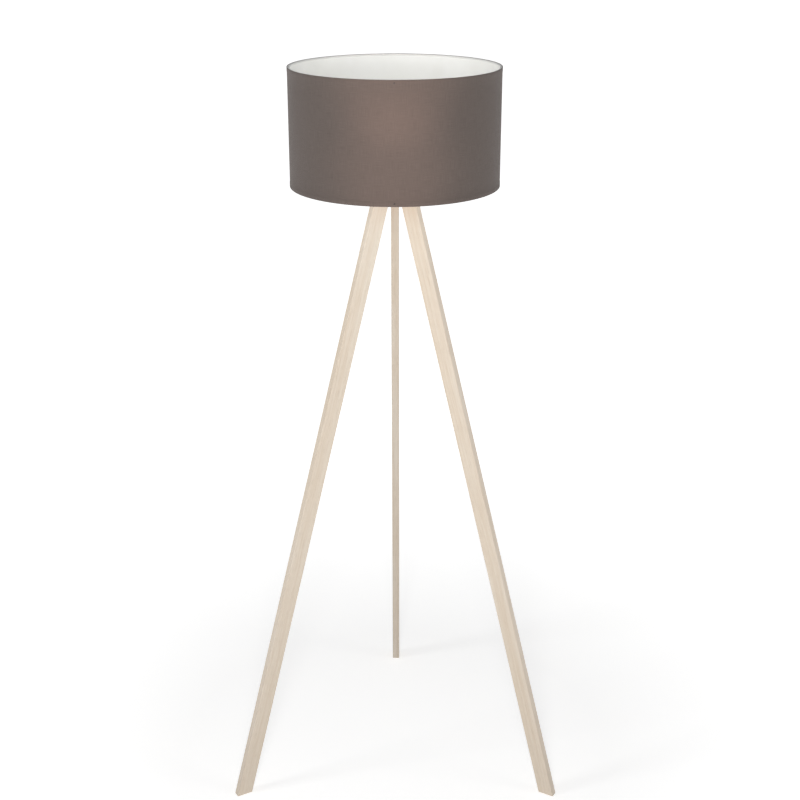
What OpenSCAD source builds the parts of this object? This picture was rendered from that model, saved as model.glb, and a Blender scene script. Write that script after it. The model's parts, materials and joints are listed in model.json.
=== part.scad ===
// Tripod floor lamp: three wooden legs that fold on a steel hub, an E27
// lampholder with its bulb, and a drum shade clamped between two ring nuts.
// The frame is +Z up, with the origin on the floor under the lamp's axis.
// One leg stands behind the axis (+Y) and two in front of it.

/* [Overall] */
// Height from the floor to the shade's top edge
total_h = 1400; // [1000:10:1700]
// Radius of the circle on which the legs meet the floor
foot_r = 350; // [260:5:420]

/* [Shade] */
// Outside diameter of the drum shade
shade_d = 380; // [300:5:500]
// Height of the drum shade
shade_h = 210; // [150:5:300]
// Thickness of the fabric cover
fabric_t = 0.8; // [0.5:0.1:1.5]
// Thickness of the stiff plastic liner
liner_t = 0.8; // [0.5:0.1:1.5]
// Diameter of the wire of the shade's rings and arms
wire_d = 3.2; // [2.5:0.1:4.5]
// Number of arms that carry the shade
arm_count = 3; // [3:1:4]

/* [Legs] */
// Width of a leg, seen from its side
leg_w = 30; // [24:1:34]
// Thickness of a leg, seen from the front
leg_t = 15; // [11:1:18]
// Chamfer along a leg's edges
leg_chamfer = 1; // [0.5:0.1:2]

/* [Hub] */
// Distance of a leg's pivot from the lamp's axis
pivot_r = 24; // [24:1:30]
// Depth of the leg tops below the shade's seat on the lampholder
hub_drop = 43; // [40:1:60]
// Thickness of the hub plate
plate_t = 3; // [2:0.5:5]
// Thickness of the leg brackets' sheet
sheet_t = 2; // [1.5:0.5:3]
// Diameter of the pivot bolts
bolt_d = 6; // [5:1:8]

/* [Lampholder and bulb] */
// Outside diameter of the lampholder's shade thread
holder_d = 40; // [38:0.5:42]
// Height of the lampholder
holder_h = 54; // [50:1:60]
// Diameter of the bulb's globe
bulb_d = 60; // [45:1:80]
// Length of the bulb, contact to crown
bulb_l = 108; // [95:1:130]

/* [Clearances] */
// Gap at each side of a leg in its bracket
side_gap = 0.4; // [0.3:0.1:0.8]
// Radial gap of a pivot bolt in its leg
bolt_gap = 0.08; // [0.02:0.01:0.1]
// Gap between flat faces that turn or bear on each other
face_gap = 0.3; // [0.2:0.05:0.5]
// Radial gap between round pieces that part from each other
round_gap = 0.4; // [0.3:0.1:0.8]

/* [Hidden] */
// The three legs, and where each stands around the lamp's axis
SIDES = ["back", "left", "right"];
TURN = [90, 210, 330];
$fn = 96;

// Levels along the lamp's axis, from the shade down to the legs
shade_r = shade_d / 2;
shade_top = total_h;
shade_bottom = total_h - shade_h;
ring_lift = 55;
seat_z = shade_bottom + ring_lift;
leg_top = seat_z - hub_drop;
pivot_z = leg_top - leg_w / 2;
web_z = leg_top + face_gap;
plate_z = web_z + sheet_t;
plate_top = plate_z + plate_t;
lean = atan((foot_r - pivot_r) / pivot_z);

// Shade
ring_t = 1.5;
nut_flange_w = 8;
centre_ring_r = holder_d / 2 + round_gap;
centre_ring_w = nut_flange_w + 2;
nut_wall = 3;
lug_out = 1;
lug_w = 1.2;
wire_r = wire_d / 2;
wire_gap = 0.05;
hoop_r = shade_r - fabric_t - liner_t - wire_r - wire_gap;
arm_bend_x = 62;
elbow_more = 0.15;
seam_turn = 270;
arm_turn = seam_turn + 60;
rivet_head_d = 3.6;
rivet_head_t = 0.8;
rivet_d = 1.8;
rivet_inset = 5;

// Hub
tube_d = 10;
tube_bore_d = 7;
nut_t = 4;
low_nut_t = 3;
tube_nut_w = 14;
washer_t = 0.8;
washer_r = 8;
tube_drop = 24;
bush_drop = 26;
bush_h = 12;
bush_wall = 1.8;
bush_floor = 2;
ear_in = 11;
ear_out = pivot_r + leg_w / 2 + 3;
ear_drop = 17;
ear_foot_r = 9;
plate_r = ear_out + 8;
hub_rivet_d = 4;
hub_rivet_head_t = 1.4;
hub_rivet_at = [ear_in + 8, ear_out - 6];
bolt_head_d = 10.5;
bolt_head_t = 3.2;
bolt_key = 4;
bolt_nut_w = 10;
bolt_nut_t = 5;
bolt_end = 1.8;
pivot_washer_d = 12;
pivot_washer_t = 1.2;
bolt_tail = pivot_washer_t + bolt_nut_t + bolt_end;
ear_face = leg_t / 2 + side_gap + sheet_t;

// Lampholder, in heights above its base
holder_z = plate_top + washer_t + nut_t;
cap_h = 19;
cap_wall = 2;
cap_taper = 4;
boss_r = 8;
boss_h = 9;
smooth_step = 0.6;
thread_h = 26;
thread_pitch = 2.5;
thread_deep = 0.8;
holder_r = holder_d / 2;
holder_wall = 3.2;
core_h = 25;
core_r = 16;
terminal_x = 9.5;
terminal_d = 5;
terminal_h = 5;
terminal_slot = 0.8;
chamber_r = 3;
chamber_h = 8;
contact_rise = 3.2;
contact_leaf = [9, 5, 0.6];
nut_flange_t = 1.6;
nut_body_t = 6;
nut_lugs = 24;

// Bulb
bulb_cap_r = 13.05;
shell_t = 0.5;
shell_r = bulb_cap_r + round_gap;
screw_pitch = 3.6;
screw_deep = 0.7;
shell_h = holder_h - core_h - 2;
bulb_cap_h = 22;
insulator_h = 3.5;
contact_h = 1.5;
bulb_z = holder_z + core_h + contact_rise + face_gap;
globe_t = 1;
globe_z = bulb_z + bulb_l - bulb_d / 2;
housing_z = bulb_z + contact_h + insulator_h + bulb_cap_h;
neck_r = 15;
housing_top_r = bulb_d * 0.4;
globe_cut = sqrt(pow(bulb_d / 2, 2) - pow(housing_top_r, 2));
housing_top = globe_z - globe_cut;

// ---- shared shapes -------------------------------------------------------

// A tube from z = 0 up to h
module tube(r_out, r_in, h) {
    difference() {
        cylinder(r = r_out, h = h);
        translate([0, 0, -1]) cylinder(r = r_in, h = h + 2);
    }
}

// A hexagonal nut of width w across its flats, bored through
module hex_nut(w, h, bore_r) {
    difference() {
        cylinder(d = w / cos(30), h = h, $fn = 6);
        translate([0, 0, -1]) cylinder(r = bore_r, h = h + 2);
    }
}

// The outline of a thread's ridges: r_high outside, deep less between them
function ridges(r_high, deep, pitch, h) =
    let (n = floor(h / pitch))
    [for (i = [0:n - 1], k = [0:3])
        [r_high - (k == 0 || k == 3 ? deep : 0),
         (i + [0.1, 0.35, 0.65, 0.9][k]) * pitch]];

// Its children at a leg's pivot: X outward, Y across the leg, Z up
module at_pivot(i) {
    rotate(TURN[i]) translate([pivot_r, 0, pivot_z]) children();
}

// Its children with Z outward, on the outer face of the ear at that side
module outside_ear(side) {
    rotate([side > 0 ? -90 : 90, 0, 0]) translate([0, 0, ear_face]) children();
}

// ---- shade ---------------------------------------------------------------

module shade_fabric() {
    color("#847168") translate([0, 0, shade_bottom])
        difference() {
            tube(shade_r, shade_r - fabric_t, shade_h);
            shade_rivet_holes();
        }
}

module shade_liner() {
    color("#f1f0ec") translate([0, 0, shade_bottom])
        difference() {
            tube(shade_r - fabric_t, shade_r - fabric_t - liner_t, shade_h);
            shade_rivet_holes();
        }
}

// Its children on the seam, pointing outward, near both edges of the shade
module on_seam() {
    for (z = [rivet_inset, shade_h - rivet_inset])
        rotate(seam_turn) translate([shade_r, 0, z]) rotate([0, 90, 0])
            children();
}

module shade_rivet_holes() {
    on_seam() translate([0, 0, -fabric_t - liner_t - 1])
        cylinder(d = rivet_d, h = fabric_t + liner_t + 2, $fn = 32);
}

module shade_rivets() {
    color("#4a3c34") translate([0, 0, shade_bottom]) on_seam() {
        translate([0, 0, -fabric_t - liner_t - rivet_head_t / 2])
            cylinder(d = rivet_d, h = fabric_t + liner_t + rivet_head_t / 2,
                $fn = 32);
        cylinder(d1 = rivet_head_d, d2 = rivet_head_d * 0.6,
            h = rivet_head_t, $fn = 32);
    }
}

module shade_hoop(z) {
    color("#e8e8e6") translate([0, 0, z]) rotate_extrude($fn = 180)
        translate([hoop_r, 0]) circle(r = wire_r, $fn = 24);
}

module shade_centre_ring() {
    color("#e8e8e6") translate([0, 0, seat_z + face_gap])
        tube(centre_ring_r + centre_ring_w, centre_ring_r, ring_t);
}

// Each arm leaves the centre ring level, then slopes to the lower hoop
module shade_arms() {
    level_z = seat_z + face_gap + ring_t / 2;
    drop = level_z - shade_bottom - wire_r;
    slope = atan(drop / (hoop_r - arm_bend_x));
    start_x = centre_ring_r + centre_ring_w;
    color("#e8e8e6") for (i = [0:arm_count - 1])
        rotate(arm_turn + i * 360 / arm_count)
            translate([arm_bend_x, 0, level_z]) {
                rotate([0, -90, 0])
                    cylinder(r = wire_r, h = arm_bend_x - start_x, $fn = 32);
                rotate([0, 90 + slope, 0])
                    cylinder(r = wire_r, h = drop / sin(slope) - wire_r,
                        $fn = 32);
                sphere(r = wire_r + elbow_more, $fn = 32);
            }
}

// ---- lampholder ----------------------------------------------------------

// A ring nut with a broad flange and grip lugs; the flange is at z = 0
module ring_nut() {
    r_in = holder_r + round_gap;
    r_body = r_in + nut_wall;
    sunk = 0.3;
    tube(r_in + nut_flange_w, r_in, nut_flange_t);
    tube(r_body, r_in, nut_flange_t + nut_body_t);
    for (i = [0:nut_lugs - 1]) rotate(i * 360 / nut_lugs)
        translate([r_body - sunk, -lug_w / 2, nut_flange_t - 0.1])
            cube([lug_out + sunk, lug_w, nut_body_t]);
}

module shade_nut_lower() {
    color("#f4f4f2") translate([0, 0, seat_z]) mirror([0, 0, 1]) ring_nut();
}

module shade_nut_upper() {
    color("#f4f4f2")
        translate([0, 0, seat_z + ring_t + 2 * face_gap]) ring_nut();
}

// Cup that tapers to its base, with a threaded boss for the tube
module holder_cap() {
    low_r = holder_r - cap_taper;
    top_r = holder_r - smooth_step;
    color("#f4f4f2") translate([0, 0, holder_z]) rotate_extrude()
        polygon([[tube_d / 2, 0], [low_r, 0],
            [top_r, cap_h * 0.6], [top_r, cap_h],
            [top_r - cap_wall, cap_h], [top_r - cap_wall, cap_h * 0.65],
            [low_r - cap_wall, cap_wall], [boss_r, cap_wall],
            [boss_r, boss_h], [tube_d / 2, boss_h]]);
}

// Open sleeve: a smooth band, then the thread that takes the ring nuts
module holder_body() {
    smooth_h = holder_h - cap_h - thread_h;
    color("#f4f4f2") translate([0, 0, holder_z + cap_h]) rotate_extrude()
        polygon(concat([[holder_r - holder_wall, 0],
            [holder_r - smooth_step, 0], [holder_r - smooth_step, smooth_h]],
            [for (p = ridges(holder_r, thread_deep, thread_pitch, thread_h))
                p + [0, smooth_h]],
            [[holder_r - thread_deep, smooth_h + thread_h],
             [holder_r - holder_wall, smooth_h + thread_h]]));
}

// Insulating core with a well over the tube and two terminal chambers
module holder_core() {
    color("#ece9e0") translate([0, 0, holder_z + boss_h]) difference() {
        cylinder(r = core_r, h = core_h - boss_h);
        translate([0, 0, -1]) cylinder(r = tube_d / 2 + 1, h = 6);
        for (s = [-1, 1]) translate([s * terminal_x, 0, -1])
            cylinder(r = chamber_r, h = chamber_h + 1);
    }
}

// Two slotted screws, each against the roof of its chamber
module holder_terminal_screws() {
    low = holder_z + boss_h + chamber_h - terminal_h;
    color("#c9a227") for (s = [-1, 1]) translate([s * terminal_x, 0, low])
        difference() {
            cylinder(d = terminal_d, h = terminal_h, $fn = 32);
            translate([-terminal_d, -terminal_slot / 2, -1])
                cube([2 * terminal_d, terminal_slot, 2]);
        }
}

// Brass sleeve that the bulb's cap screws into
module holder_screw_shell() {
    r = shell_r + shell_t;
    color("#c9a227") translate([0, 0, holder_z + core_h]) rotate_extrude()
        polygon(concat([[shell_r, 0], [r, 0]],
            ridges(r + screw_deep, screw_deep, screw_pitch, shell_h - 2),
            [[r, shell_h], [shell_r, shell_h]]));
}

// A leaf on the core, with the button that meets the bulb
module holder_centre_contact() {
    button_r = contact_leaf.y / 2;
    color("#c9a227") translate([0, 0, holder_z + core_h]) {
        translate([1 - contact_leaf.x, -button_r, 0]) cube(contact_leaf);
        cylinder(r = button_r, h = contact_rise);
    }
}

// ---- bulb ----------------------------------------------------------------

module bulb_globe() {
    r = bulb_d / 2;
    color("#fbfaf5") translate([0, 0, globe_z]) difference() {
        sphere(r = r);
        sphere(r = r - globe_t);
        translate([0, 0, -globe_cut - r]) cylinder(r = r, h = r);
    }
}

module bulb_housing() {
    h = housing_top - housing_z;
    color("#f2f2f0") translate([0, 0, housing_z]) rotate_extrude()
        polygon([[0, 0], [neck_r, 0], [neck_r, h * 0.2],
            [neck_r + 1.5, h * 0.4], [neck_r + 4.5, h * 0.68],
            [housing_top_r, h], [0, h]]);
}

module bulb_screw_cap() {
    color("#b9b9b4") translate([0, 0, housing_z - bulb_cap_h])
        rotate_extrude() polygon(concat(
            [[0, 0], [bulb_cap_r - screw_deep, 0]],
            ridges(bulb_cap_r, screw_deep, screw_pitch, bulb_cap_h - 3),
            [[bulb_cap_r - screw_deep, bulb_cap_h], [0, bulb_cap_h]]));
}

module bulb_insulator() {
    color("#2b2b2d") translate([0, 0, bulb_z + contact_h])
        cylinder(r1 = 5, r2 = bulb_cap_r - screw_deep, h = insulator_h);
}

module bulb_contact() {
    color("#c9a227") translate([0, 0, bulb_z])
        cylinder(r1 = 3, r2 = 4.5, h = contact_h);
}

// ---- hub -----------------------------------------------------------------

// Runs from the cord bush to the top of the boss in the holder's cap
module threaded_tube() {
    low = plate_z - tube_drop;
    color("#b8b8b4") translate([0, 0, low])
        tube(tube_d / 2, tube_bore_d / 2, holder_z + boss_h - low);
}

module tube_nut_upper() {
    color("#b8b8b4") translate([0, 0, plate_top + washer_t])
        hex_nut(tube_nut_w, nut_t, tube_d / 2);
}

module tube_nut_lower() {
    color("#b8b8b4") translate([0, 0, plate_z - washer_t - low_nut_t])
        hex_nut(tube_nut_w, low_nut_t, tube_d / 2);
}

module tube_washers() {
    color("#b8b8b4") for (z = [plate_z - washer_t, plate_top])
        translate([0, 0, z]) tube(washer_r, tube_d / 2, washer_t);
}

// Smooth bush on the tube's lower end, where the cord enters
module cord_bush() {
    color("#f4f4f2") translate([0, 0, plate_z - bush_drop]) difference() {
        cylinder(r = tube_d / 2 + bush_wall, h = bush_h);
        translate([0, 0, bush_floor]) cylinder(r = tube_d / 2, h = bush_h);
        translate([0, 0, -1]) cylinder(r = tube_bore_d / 2, h = bush_floor + 2);
    }
}

module hub_plate() {
    color("#3a3a3c") translate([0, 0, plate_z]) difference() {
        cylinder(r = plate_r, h = plate_t);
        translate([0, 0, -1]) cylinder(d = tube_d + 0.2, h = plate_t + 2);
        hub_rivet_places() translate([0, 0, -1])
            cylinder(d = hub_rivet_d, h = plate_t + 2, $fn = 32);
    }
}

module hub_rivet_places() {
    for (a = TURN, r = hub_rivet_at) rotate(a) translate([r, 0, 0])
        children();
}

module hub_rivets() {
    color("#b8b8b4") translate([0, 0, web_z]) hub_rivet_places() {
        cylinder(d = hub_rivet_d, h = sheet_t + plate_t, $fn = 32);
        translate([0, 0, sheet_t + plate_t])
            cylinder(d1 = hub_rivet_d * 1.8, d2 = hub_rivet_d,
                h = hub_rivet_head_t, $fn = 32);
    }
}

// Folded channel: a web under the plate and an ear at each side of the leg
module leg_bracket(i) {
    web_up = leg_w / 2 + face_gap;
    color("#3a3a3c") at_pivot(i) difference() {
        union() {
            translate([ear_in - pivot_r, -ear_face, web_up])
                cube([ear_out - ear_in, 2 * ear_face, sheet_t]);
            for (s = [-1, 1]) translate([0, s * (ear_face - sheet_t / 2), 0])
                rotate([90, 0, 0])
                    linear_extrude(sheet_t, center = true) ear_outline();
        }
        rotate([90, 0, 0]) cylinder(d = bolt_d, h = 4 * ear_face,
            center = true);
        for (r = hub_rivet_at) translate([r - pivot_r, 0, web_up - 1])
            cylinder(d = hub_rivet_d, h = sheet_t + 2, $fn = 32);
    }
}

// An ear: square at the web, round at its foot
module ear_outline() {
    r = ear_foot_r;
    top = leg_w / 2 + face_gap + sheet_t / 2;
    polygon(concat([[ear_in - pivot_r, top], [ear_in - pivot_r, r]],
        [for (a = [180:15:360]) [r * cos(a), -ear_drop + r + r * sin(a)]],
        [[ear_out - pivot_r, r], [ear_out - pivot_r, top]]));
}

// A plain shank through both ears, with a socket head on a washer
module pivot_bolts() {
    color("#b8b8b4") for (i = [0:2]) at_pivot(i) outside_ear(1) {
        translate([0, 0, -2 * ear_face - bolt_tail])
            cylinder(d = bolt_d, h = bolt_tail + 2 * ear_face + pivot_washer_t);
        translate([0, 0, pivot_washer_t]) difference() {
            cylinder(d1 = bolt_head_d, d2 = bolt_head_d * 0.7,
                h = bolt_head_t);
            translate([0, 0, bolt_head_t - 2])
                cylinder(d = bolt_key / cos(30), h = 4, $fn = 6);
        }
    }
}

module pivot_washers() {
    color("#b8b8b4") for (i = [0:2], side = [-1, 1]) at_pivot(i)
        outside_ear(side)
            tube(pivot_washer_d / 2, bolt_d / 2, pivot_washer_t);
}

module pivot_nuts() {
    color("#b8b8b4") for (i = [0:2]) at_pivot(i) outside_ear(-1)
        translate([0, 0, pivot_washer_t])
            hex_nut(bolt_nut_w, bolt_nut_t, bolt_d / 2);
}

// ---- legs ----------------------------------------------------------------

// A leg's side outline, measured from its pivot. Its outer top corner is
// level and bears on the bracket; the inner one is round, so the leg folds.
module leg_outline() {
    half = leg_w / 2;
    across = half / cos(lean);
    run = pivot_z * tan(lean);
    circle(r = half);
    polygon([[-half * cos(lean), -half * sin(lean)],
        [run - across, -pivot_z], [run + across, -pivot_z],
        [across - half * tan(lean), half], [0, half], [0, 0]]);
}

// A leg's cross-section with chamfered edges
module leg_section() {
    x = leg_w / 2;
    y = leg_t / 2;
    c = leg_chamfer;
    polygon([[x - c, -y], [x, -y + c], [x, y - c], [x - c, y],
        [-x + c, y], [-x, y - c], [-x, -y + c], [-x + c, -y]]);
}

module leg(i) {
    long = pivot_z / cos(lean) + leg_w;
    color("#e3cfb4") at_pivot(i) difference() {
        intersection() {
            rotate([90, 0, 0]) linear_extrude(leg_t, center = true)
                leg_outline();
            rotate([0, -lean, 0]) translate([0, 0, -long])
                linear_extrude(long + leg_w) leg_section();
        }
        rotate([90, 0, 0]) cylinder(r = bolt_d / 2 + bolt_gap,
            h = leg_t + 2, center = true);
    }
}

// ---- nodes ---------------------------------------------------------------

shade_fabric();
shade_liner();
shade_hoop(shade_top - wire_r - wire_gap);  // shade_top_ring
shade_hoop(shade_bottom + wire_r);  // shade_bottom_ring
shade_arms();
shade_centre_ring();
shade_rivets();
shade_nut_lower();
shade_nut_upper();
holder_cap();
holder_body();
holder_core();
holder_screw_shell();
holder_centre_contact();
holder_terminal_screws();
bulb_globe();
bulb_housing();
bulb_screw_cap();
bulb_insulator();
bulb_contact();
threaded_tube();
tube_nut_upper();
tube_nut_lower();
tube_washers();
cord_bush();
hub_plate();
hub_rivets();
pivot_bolts();
pivot_washers();
pivot_nuts();
for (i = [0:2]) {
    leg_bracket(i);
    leg(i);
}
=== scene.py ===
"""Tripod floor lamp: materials, the fabric cover and the studio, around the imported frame.

Everything is in metres, in the frame's own axes: +Z up, the origin on the floor under the
lamp's axis.
"""
import json
from math import cos, pi, radians, sin

import bpy
from mathutils import Matrix, Vector


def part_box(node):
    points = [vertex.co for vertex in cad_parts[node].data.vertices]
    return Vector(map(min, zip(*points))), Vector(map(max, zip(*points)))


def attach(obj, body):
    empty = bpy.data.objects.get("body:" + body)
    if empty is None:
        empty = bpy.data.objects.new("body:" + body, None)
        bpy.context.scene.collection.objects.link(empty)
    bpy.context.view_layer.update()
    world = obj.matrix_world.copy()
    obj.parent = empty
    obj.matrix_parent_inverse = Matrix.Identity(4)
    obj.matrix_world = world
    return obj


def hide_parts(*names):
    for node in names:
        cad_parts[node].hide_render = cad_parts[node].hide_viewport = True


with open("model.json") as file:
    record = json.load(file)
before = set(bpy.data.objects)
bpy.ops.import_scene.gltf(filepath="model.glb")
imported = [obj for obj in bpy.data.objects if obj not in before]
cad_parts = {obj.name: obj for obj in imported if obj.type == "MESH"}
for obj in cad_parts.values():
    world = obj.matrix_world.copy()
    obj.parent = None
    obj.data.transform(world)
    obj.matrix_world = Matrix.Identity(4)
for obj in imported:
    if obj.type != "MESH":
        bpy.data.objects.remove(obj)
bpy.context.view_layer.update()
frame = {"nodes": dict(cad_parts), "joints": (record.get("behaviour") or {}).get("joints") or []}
nodes = frame["nodes"]

# The shade, read from the frame
LINER_LOW, LINER_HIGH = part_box("shade_liner")
FABRIC_LOW, FABRIC_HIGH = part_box("shade_fabric")
SHADE_BOTTOM, SHADE_TOP = FABRIC_LOW[2], FABRIC_HIGH[2]
SHADE_R = (FABRIC_HIGH[1] - FABRIC_LOW[1]) / 2
LINER_R = (LINER_HIGH[1] - LINER_LOW[1]) / 2

# The cloth: its thickness, the length on it of one unit of the weave's texture, and the
# steps of its mesh around the shade
CLOTH_T = 0.0005
WEAVE_UNIT = 0.0006
TURNS = 256
# Its hem: height, how far it stands proud, and the step down to the plain cloth, as pairs of
# the share still proud and the distance past the hem
HEM = 0.007
HEM_PROUD = 0.00035
HEM_STEP = ((0.4, 0.0005), (0.0, 0.0009))
# How far the plain cloth lies inside the CAD cover, and how far its rolled edge reaches in
# past the lining's outer face and rises above the CAD cover
SKIN_INSET = 0.0001
EDGE_LAP = 0.0002
EDGE_RISE = 0.0004
ROLL_STEPS = 8
FLAT_STEPS = 12

# A leg's vertices below this height belong to its foot's end face
FOOT_HEIGHT = 0.0001

# Colours, as sRGB values
TAUPE = (0.342, 0.314, 0.3)
WOOD = (0.793, 0.732, 0.655)
WOOD_PALE = (0.828, 0.78, 0.72)
WOOD_WARM = (0.752, 0.675, 0.583)
WOOD_BROWN = (0.6, 0.515, 0.425)
WOOD_LIME = (0.852, 0.823, 0.778)
FILM = (0.965, 0.965, 0.955)
FILM_DULL = (0.955, 0.955, 0.94)
FILM_BRIGHT = (0.975, 0.975, 0.965)

# How dark each leg's wood is painted, against the colours above: the back leg is darkened as painted
# shade, for the shadow it lies in behind the lamp's axis
LEG_PAINTED_SHADE = {"leg_back": 0.92, "leg_left": 1.0, "leg_right": 1.0}
SEED_STEP = 0.37

# The room's light fades upwards between two directions, given by the sine of their elevation:
# fade from, fade to, strength below, strength above
WALL_GLOW = (0.05, 0.18, 1.0, 0.33)
# The floor's own glow near the lamp and away from it, and the distances between which it grows
NEAR_GLOW = 0.49
FAR_GLOW = 0.85
GLOW_FROM = 0.45
GLOW_TO = 1.6
FLOOR_SIZE = 160

# The camera: its place, its lens in mm, how far it looks down in degrees, how far it sees
CAMERA_AT = (0.0093, -2.47, 1.696)
CAMERA_LENS = 61.75
CAMERA_PITCH = 20.52
CAMERA_REACH = 200

# The two beams on the shade: where they start along Y, and how far the low one is above the
# shade's bottom and the high one above its top
BEAM_Y = -2.2
LOW_BEAM_RISE = 0.06
HIGH_BEAM_RISE = 0.005


# ---- node helpers ----------------------------------------------------------

def linear(colour):
    """An sRGB colour as the linear RGBA that sockets take."""
    def one(c):
        return c / 12.92 if c <= 0.04045 else ((c + 0.055) / 1.055) ** 2.4
    return tuple(one(c) for c in colour) + (1.0,)


def toned(colour, tone):
    """An sRGB colour, darkened or lightened, as linear RGBA."""
    return linear(tuple(c * tone for c in colour))


class Mat:
    """A Principled material under construction, with short calls for the nodes used here."""

    def __init__(self, name, colour, roughness, metallic=0.0, **sockets):
        self.mat = bpy.data.materials.new(name)
        self.mat.use_nodes = True
        self.nodes = self.mat.node_tree.nodes
        self.links = self.mat.node_tree.links
        self.shader = self.nodes["Principled BSDF"]
        self.set("Base Color", linear(colour))
        self.set("Roughness", roughness)
        self.set("Metallic", metallic)
        for socket, value in sockets.items():
            self.set(socket.replace("_", " "), value)
        self.coord = self.nodes.new("ShaderNodeTexCoord").outputs["Object"]

    def set(self, socket, value):
        self.shader.inputs[socket].default_value = value

    def link(self, source, target):
        self.links.new(source, target)

    def uv(self):
        return self.nodes.new("ShaderNodeUVMap").outputs["UV"]

    def scaled(self, source, scale):
        node = self.nodes.new("ShaderNodeMapping")
        node.inputs["Scale"].default_value = scale
        self.link(source, node.inputs["Vector"])
        return node.outputs["Vector"]

    def turned(self, source, axes, origin):
        """Coordinates along three axes, from an origin."""
        node = self.nodes.new("ShaderNodeMapping")
        node.vector_type = "TEXTURE"
        node.inputs["Rotation"].default_value = Matrix([list(a) for a in axes]).transposed().to_euler()
        node.inputs["Location"].default_value = origin
        self.link(source, node.inputs["Vector"])
        return node.outputs["Vector"]

    def swayed(self, source, sway, reach):
        """Coordinates that wander sideways with a texture's value."""
        node = self.nodes.new("ShaderNodeVectorMath")
        node.operation = "MULTIPLY_ADD"
        self.link(sway, node.inputs[0])
        node.inputs[1].default_value = reach
        self.link(source, node.inputs[2])
        return node.outputs["Vector"]

    def distance(self, source):
        """The distance of the coordinates from their origin."""
        node = self.nodes.new("ShaderNodeVectorMath")
        node.operation = "LENGTH"
        self.link(source, node.inputs[0])
        return node.outputs["Value"]

    def noise(self, source, scale, detail=3.0, roughness=0.55):
        node = self.nodes.new("ShaderNodeTexNoise")
        node.inputs["Scale"].default_value = scale
        node.inputs["Detail"].default_value = detail
        node.inputs["Roughness"].default_value = roughness
        self.link(source, node.inputs["Vector"])
        return node.outputs["Fac"]

    def threads(self, source, direction):
        """Slightly wavy bands across one direction, as a cloth's threads lie."""
        node = self.nodes.new("ShaderNodeTexWave")
        node.wave_type = "BANDS"
        node.bands_direction = direction
        node.inputs["Scale"].default_value = 0.5
        node.inputs["Distortion"].default_value = 0.5
        node.inputs["Detail"].default_value = 1.0
        node.inputs["Detail Scale"].default_value = 1.0
        self.link(source, node.inputs["Vector"])
        return node.outputs["Fac"]

    def remap(self, source, low, high, to_low=0.0, to_high=1.0):
        node = self.nodes.new("ShaderNodeMapRange")
        sockets = ("From Min", "From Max", "To Min", "To Max")
        for socket, value in zip(sockets, (low, high, to_low, to_high)):
            node.inputs[socket].default_value = value
        self.link(source, node.inputs["Value"])
        return node.outputs["Result"]

    def math(self, operation, a, b):
        node = self.nodes.new("ShaderNodeMath")
        node.operation = operation
        for socket, value in zip(node.inputs, (a, b)):
            if isinstance(value, (int, float)):
                socket.default_value = value
            else:
                self.link(value, socket)
        return node.outputs["Value"]

    def mix(self, factor, a, b):
        """Mixes two colours, each a colour or a socket, by a socket's value."""
        node = self.nodes.new("ShaderNodeMix")
        node.data_type = "RGBA"
        for socket, value in ((node.inputs[0], factor), (node.inputs[6], a), (node.inputs[7], b)):
            if isinstance(value, bpy.types.NodeSocket):
                self.link(value, socket)
            else:
                socket.default_value = value
        return node.outputs[2]

    def bump(self, height, strength, distance):
        node = self.nodes.new("ShaderNodeBump")
        node.inputs["Strength"].default_value = strength
        node.inputs["Distance"].default_value = distance
        self.link(height, node.inputs["Height"])
        self.link(node.outputs["Normal"], self.shader.inputs["Normal"])

    def paint(self, colour):
        self.link(colour, self.shader.inputs["Base Color"])

    def roughen(self, value):
        self.link(value, self.shader.inputs["Roughness"])


# ---- materials -------------------------------------------------------------

def fabric():
    """Plain weave: warp and weft threads with slubs, in the cover's own UVs in metres."""
    m = Mat("shade_cloth", TAUPE, 0.6, Specular_IOR_Level=0.3, Sheen_Weight=0.02)
    m.set("Specular Tint", (1.0, 0.72, 0.6, 1.0))
    uv = m.uv()
    warp = m.threads(m.scaled(uv, (1 / WEAVE_UNIT, 90, 1)), "X")
    weft = m.threads(m.scaled(uv, (90, 1 / WEAVE_UNIT, 1)), "Y")
    slub_weft = m.noise(m.scaled(uv, (45, 2000, 1)), 1.0, 2.0)
    slub_warp = m.noise(m.scaled(uv, (2000, 45, 1)), 1.0, 2.0)
    cloudy = m.noise(m.scaled(uv, (11, 11, 1)), 1.0, 2.0)
    slubs = m.math("MULTIPLY", m.math("ADD", slub_weft, slub_warp), 0.5)
    weave = m.math("MULTIPLY", m.math("ADD", warp, weft), 0.5)
    dark = toned(TAUPE, 0.88)
    colour = m.mix(m.remap(slubs, 0.33, 0.67), dark, toned(TAUPE, 1.1))
    colour = m.mix(m.remap(weave, 0.15, 0.85, 0.0, 0.3), colour, dark)
    colour = m.mix(m.remap(cloudy, 0.35, 0.7, 0.0, 0.14), colour, dark)
    m.paint(colour)
    m.bump(m.math("ADD", weave, slubs), 0.4, 0.0002)
    return m.mat


def lining():
    """Off-white laminated film, very slightly mottled."""
    m = Mat("shade_film", FILM, 0.6)
    cloudy = m.noise(m.coord, 14)
    m.paint(m.mix(m.remap(cloudy, 0.35, 0.65), linear(FILM_DULL), linear(FILM_BRIGHT)))
    m.bump(m.noise(m.coord, 900, 2), 0.08, 0.0002)
    return m.mat


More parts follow.
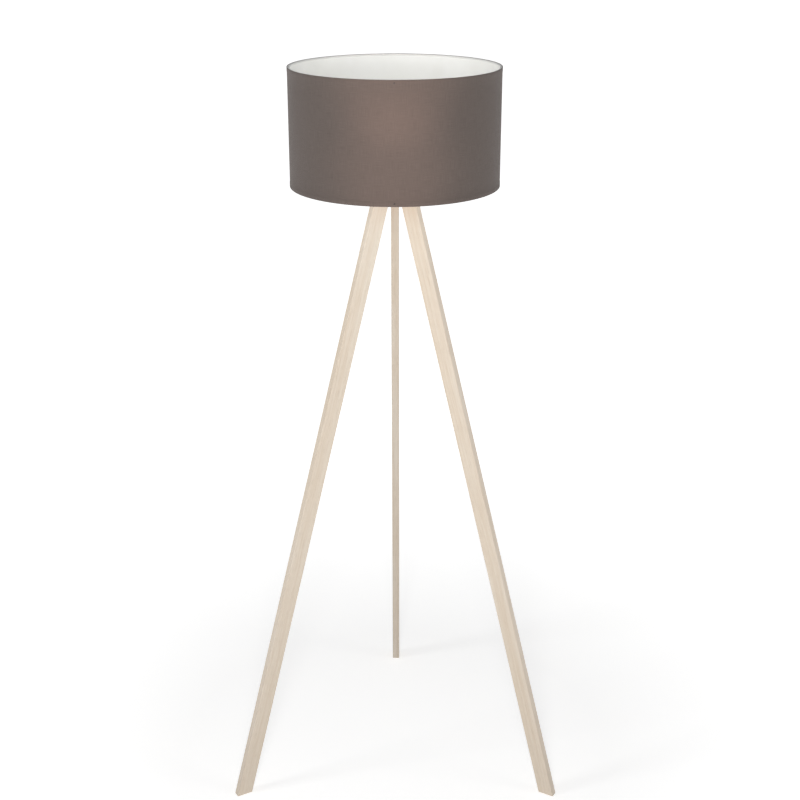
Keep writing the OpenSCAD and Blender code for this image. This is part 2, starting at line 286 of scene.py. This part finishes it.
def wood(name, axes, seed, tone):
    """Limed straight-grained wood. axes holds the leg's width, thickness and length directions."""
    m = Mat(name, WOOD, 0.55, Coat_Weight=0.06, Coat_Roughness=0.45)
    along = m.turned(m.coord, axes, (seed, seed * 0.3, seed * 2.0))
    wander = m.noise(m.scaled(along, (5, 5, 1.1)), 2.0, 2.0)
    grain = m.swayed(along, wander, (0.03, 0.012, 0.0))
    bands = m.noise(m.scaled(grain, (230, 120, 1.6)), 1.0, 3.0, 0.6)
    fibres = m.noise(m.scaled(grain, (1100, 1100, 14)), 1.0, 4.0, 0.65)
    pores = m.noise(m.scaled(grain, (1900, 1900, 45)), 1.0, 2.0, 0.5)
    patches = m.noise(m.scaled(grain, (30, 30, 3.0)), 1.0)
    colour = m.mix(m.remap(bands, 0.36, 0.68, 0.0, 0.8), toned(WOOD_PALE, tone), toned(WOOD, tone))
    colour = m.mix(m.remap(fibres, 0.45, 0.7, 0.0, 0.5), colour, toned(WOOD_WARM, tone))
    colour = m.mix(m.remap(pores, 0.6, 0.75, 0.0, 0.5), colour, toned(WOOD_BROWN, tone))
    colour = m.mix(m.remap(patches, 0.45, 0.75, 0.0, 0.45), colour, toned(WOOD_LIME, tone))
    m.paint(colour)
    m.roughen(m.remap(fibres, 0.3, 0.7, 0.48, 0.66))
    open_pores = m.math("MULTIPLY", m.remap(pores, 0.6, 0.75), 0.8)
    m.bump(m.math("SUBTRACT", fibres, open_pores), 0.3, 0.0004)
    return m.mat


def powder_coat(name, colour, roughness, grain=2600):
    """Coated steel or moulded plastic with a fine orange peel."""
    m = Mat(name, colour, roughness)
    peel = m.noise(m.coord, grain, 2)
    m.roughen(m.remap(peel, 0.3, 0.7, roughness - 0.06, roughness + 0.06))
    m.bump(peel, 0.12, 0.0001)
    return m.mat


def bare_metal(name, colour, roughness):
    """Plated or brushed metal with faint drawing marks."""
    m = Mat(name, colour, roughness, metallic=1.0)
    marks = m.noise(m.scaled(m.coord, (500, 500, 3500)), 1.0, 2)
    m.roughen(m.remap(marks, 0.3, 0.7, roughness - 0.08, roughness + 0.1))
    m.bump(marks, 0.06, 0.0001)
    return m.mat


def opal():
    """The bulb's diffusing globe."""
    m = Mat("opal_globe", (0.97, 0.965, 0.95), 0.35, Subsurface_Weight=0.25, Subsurface_Scale=0.004)
    m.roughen(m.remap(m.noise(m.coord, 60, 2), 0.3, 0.7, 0.3, 0.4))
    return m.mat


def glaze():
    """The lampholder's glazed ceramic core."""
    m = Mat("glazed_core", (0.91, 0.89, 0.84), 0.2, Coat_Weight=0.5)
    m.bump(m.noise(m.coord, 300, 2), 0.1, 0.0002)
    return m.mat


def leg_axes(name):
    """The leg's width, thickness and length directions, from its pivot and the middle of its foot."""
    joint = next(j for j in frame["joints"] if j["child"] == name)
    foot = [v.co for v in nodes[name].data.vertices if v.co.z < FOOT_HEIGHT]
    length = (Vector(joint["pos_m"]) - sum(foot, Vector()) / len(foot)).normalized()
    thick = Vector(joint["axis"])
    return thick.cross(length), thick, length


def assign(names, material):
    """Gives nodes one material in place of those they came with."""
    for name in names:
        mesh = nodes[name].data
        mesh.materials.clear()
        mesh.materials.append(material)


def dress_shade():
    assign(["shade_liner"], lining())
    assign(["shade_top_ring", "shade_bottom_ring", "shade_arms", "shade_centre_ring"],
           powder_coat("white_wire", (0.9, 0.9, 0.89), roughness=0.4))
    assign(["shade_rivets"], powder_coat("dark_lacquer", (0.16, 0.13, 0.12), roughness=0.45))


def dress_legs():
    # The back leg's lower value darkens its whole wood as painted shade
    for count, (leg, tone) in enumerate(LEG_PAINTED_SHADE.items(), 1):
        assign([leg], wood(leg + "_wood", leg_axes(leg), SEED_STEP * count, tone))


def dress_holder_and_bulb():
    assign(["shade_nut_lower", "shade_nut_upper", "holder_cap", "holder_body", "cord_bush"],
           powder_coat("white_plastic", (0.93, 0.93, 0.91), roughness=0.38, grain=1800))
    assign(["holder_core"], glaze())
    assign(["holder_screw_shell", "holder_centre_contact", "holder_terminal_screws"],
           bare_metal("brass", (0.78, 0.62, 0.3), roughness=0.3))
    assign(["bulb_globe"], opal())
    assign(["bulb_housing"], powder_coat("bulb_plastic", (0.94, 0.94, 0.93), roughness=0.3, grain=1500))
    assign(["bulb_screw_cap", "bulb_contact"], bare_metal("nickel", (0.72, 0.71, 0.69), roughness=0.25))
    assign(["bulb_insulator"], powder_coat("black_glass", (0.05, 0.05, 0.055), roughness=0.2, grain=900))


def dress_hub():
    assign(["threaded_tube", "tube_nut_upper", "tube_nut_lower", "tube_washers", "hub_rivets",
            "pivot_bolts", "pivot_washers", "pivot_nuts"],
           bare_metal("zinc_steel", (0.66, 0.66, 0.65), roughness=0.35))
    assign(["hub_plate", "leg_bracket_back", "leg_bracket_left", "leg_bracket_right"],
           powder_coat("black_coat", (0.1, 0.1, 0.105), roughness=0.55))


# ---- the fabric cover ------------------------------------------------------

def cover_profile():
    """(radius, height) of the cover, from over the lining's top edge to under its bottom edge."""
    skin = SHADE_R - SKIN_INSET
    inner = LINER_R - EDGE_LAP
    roll = (skin + HEM_PROUD - inner) / 2
    middle = (skin + HEM_PROUD + inner) / 2
    turns = [pi * k / ROLL_STEPS for k in range(ROLL_STEPS + 1)]
    top = [(middle - roll * cos(a), SHADE_TOP + EDGE_RISE * sin(a)) for a in turns]
    top.append((skin + HEM_PROUD, SHADE_TOP - HEM))
    top += [(skin + HEM_PROUD * proud, SHADE_TOP - HEM - past) for proud, past in HEM_STEP]
    bottom = [(r, SHADE_BOTTOM + SHADE_TOP - z) for r, z in reversed(top)]
    high, low = top[-1][1], bottom[0][1]
    flat = [(skin, high + (low - high) * k / FLAT_STEPS) for k in range(1, FLAT_STEPS)]
    return top + flat + bottom


def running_length(profile):
    """The length along the profile at each of its points."""
    run = [0.0]
    for (r0, z0), (r1, z1) in zip(profile, profile[1:]):
        run.append(run[-1] + ((r1 - r0) ** 2 + (z1 - z0) ** 2) ** 0.5)
    return run


def cover_mesh(profile, run):
    """The profile turned around Z, starting at the front, with UVs in metres of flat cloth."""
    verts, faces, uvs = [], [], []
    count = len(profile)
    arc = 2 * pi * SHADE_R / TURNS
    for k in range(TURNS):
        angle = -pi / 2 + 2 * pi * k / TURNS
        verts += [(r * cos(angle), r * sin(angle), z) for r, z in profile]
        u = k * arc
        for j in range(count - 1):
            a = k * count + j
            b = (k + 1) % TURNS * count + j
            faces.append((a, a + 1, b + 1, b))
            uvs += [(u, -run[j]), (u, -run[j + 1]), (u + arc, -run[j + 1]), (u + arc, -run[j])]
    mesh = bpy.data.meshes.new("shade_cover")
    mesh.from_pydata(verts, [], faces)
    layer = mesh.uv_layers.new(name="cloth")
    for loop, uv in zip(layer.data, uvs):
        loop.uv = uv
    for polygon in mesh.polygons:
        polygon.use_smooth = True
    return mesh


def make_cover():
    """The shade's cloth as one sheet, rolled over the lining at both edges."""
    profile = cover_profile()
    run = running_length(profile)
    mesh = cover_mesh(profile, run)
    mesh.materials.append(fabric())
    cover = bpy.data.objects.new("shade_cover", mesh)
    bpy.context.collection.objects.link(cover)
    thick = cover.modifiers.new("thickness", "SOLIDIFY")
    thick.thickness = CLOTH_T
    thick.offset = -1
    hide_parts("shade_fabric")
    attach(cover, "shade")


# ---- studio ----------------------------------------------------------------

def camera():
    data = bpy.data.cameras.new("camera")
    data.lens = CAMERA_LENS
    data.clip_end = CAMERA_REACH
    eye = bpy.data.objects.new("camera", data)
    eye.location = CAMERA_AT
    eye.rotation_euler = (radians(90 - CAMERA_PITCH), 0, 0)
    bpy.context.collection.objects.link(eye)
    bpy.context.scene.camera = eye


def area_light(name, location, target, width, height, power):
    """A rectangular soft light that faces a target."""
    data = bpy.data.lights.new(name, "AREA")
    data.shape = "RECTANGLE"
    data.size = width
    data.size_y = height
    data.energy = power
    lamp = bpy.data.objects.new(name, data)
    lamp.location = location
    lamp.rotation_euler = (Vector(target) - Vector(location)).to_track_quat("-Z", "Y").to_euler()
    bpy.context.collection.objects.link(lamp)


def beam(name, z, power):
    """A narrow warm beam along +Y with a soft edge, onto the front of the shade."""
    data = bpy.data.lights.new(name, "SPOT")
    data.energy = power
    data.color = (1.0, 0.7, 0.58)
    data.spot_size = radians(8)
    data.spot_blend = 1.0
    data.shadow_soft_size = 0.02
    lamp = bpy.data.objects.new(name, data)
    lamp.location = (0, BEAM_Y, z)
    lamp.rotation_euler = (radians(90), 0, 0)
    bpy.context.collection.objects.link(lamp)


def room():
    """A white room that is dimmer overhead than around the horizon."""
    world = bpy.data.worlds.new("room")
    world.use_nodes = True
    tree = world.node_tree
    background = tree.nodes["Background"]
    split = tree.nodes.new("ShaderNodeSeparateXYZ")
    tree.links.new(tree.nodes.new("ShaderNodeTexCoord").outputs["Generated"], split.inputs[0])
    height = tree.nodes.new("ShaderNodeMapRange")
    for socket, value in zip(("From Min", "From Max", "To Min", "To Max"), WALL_GLOW):
        height.inputs[socket].default_value = value
    tree.links.new(split.outputs["Z"], height.inputs["Value"])
    tree.links.new(height.outputs["Result"], background.inputs["Strength"])
    background.inputs["Color"].default_value = (1, 1, 1, 1)
    bpy.context.scene.world = world


def white_floor():
    """White paper that glows, less so around the lamp, so that soft shadows show there."""
    bpy.ops.mesh.primitive_plane_add(size=FLOOR_SIZE, location=(0, 0, 0))
    floor = bpy.context.object
    floor.name = "floor"
    m = Mat("floor_paper", (0.9, 0.9, 0.9), 0.9)
    m.set("Emission Color", (1, 1, 1, 1))
    glow = m.remap(m.distance(m.coord), GLOW_FROM, GLOW_TO, NEAR_GLOW, FAR_GLOW)
    m.link(glow, m.shader.inputs["Emission Strength"])
    m.bump(m.noise(m.coord, 300, 2), 0.05, 0.0003)
    floor.data.materials.append(m.mat)


def studio():
    room()
    white_floor()
    area_light("key", (-0.05, -2.0, 1.62), target=(0, 0, 1.25), width=0.35, height=0.8, power=19)
    area_light("left", (-2.2, -0.9, 1.9), target=(0, 0, 0.8), width=0.6, height=0.8, power=11)
    area_light("right", (2.2, -0.9, 1.9), target=(0, 0, 0.9), width=0.9, height=1.3, power=5)
    beam("low_beam", SHADE_BOTTOM + LOW_BEAM_RISE, power=66)
    beam("high_beam", SHADE_TOP + HIGH_BEAM_RISE, power=84)
    bpy.context.scene.view_settings.view_transform = "Standard"


camera()
studio()
make_cover()
dress_shade()
dress_legs()
dress_holder_and_bulb()
dress_hub()
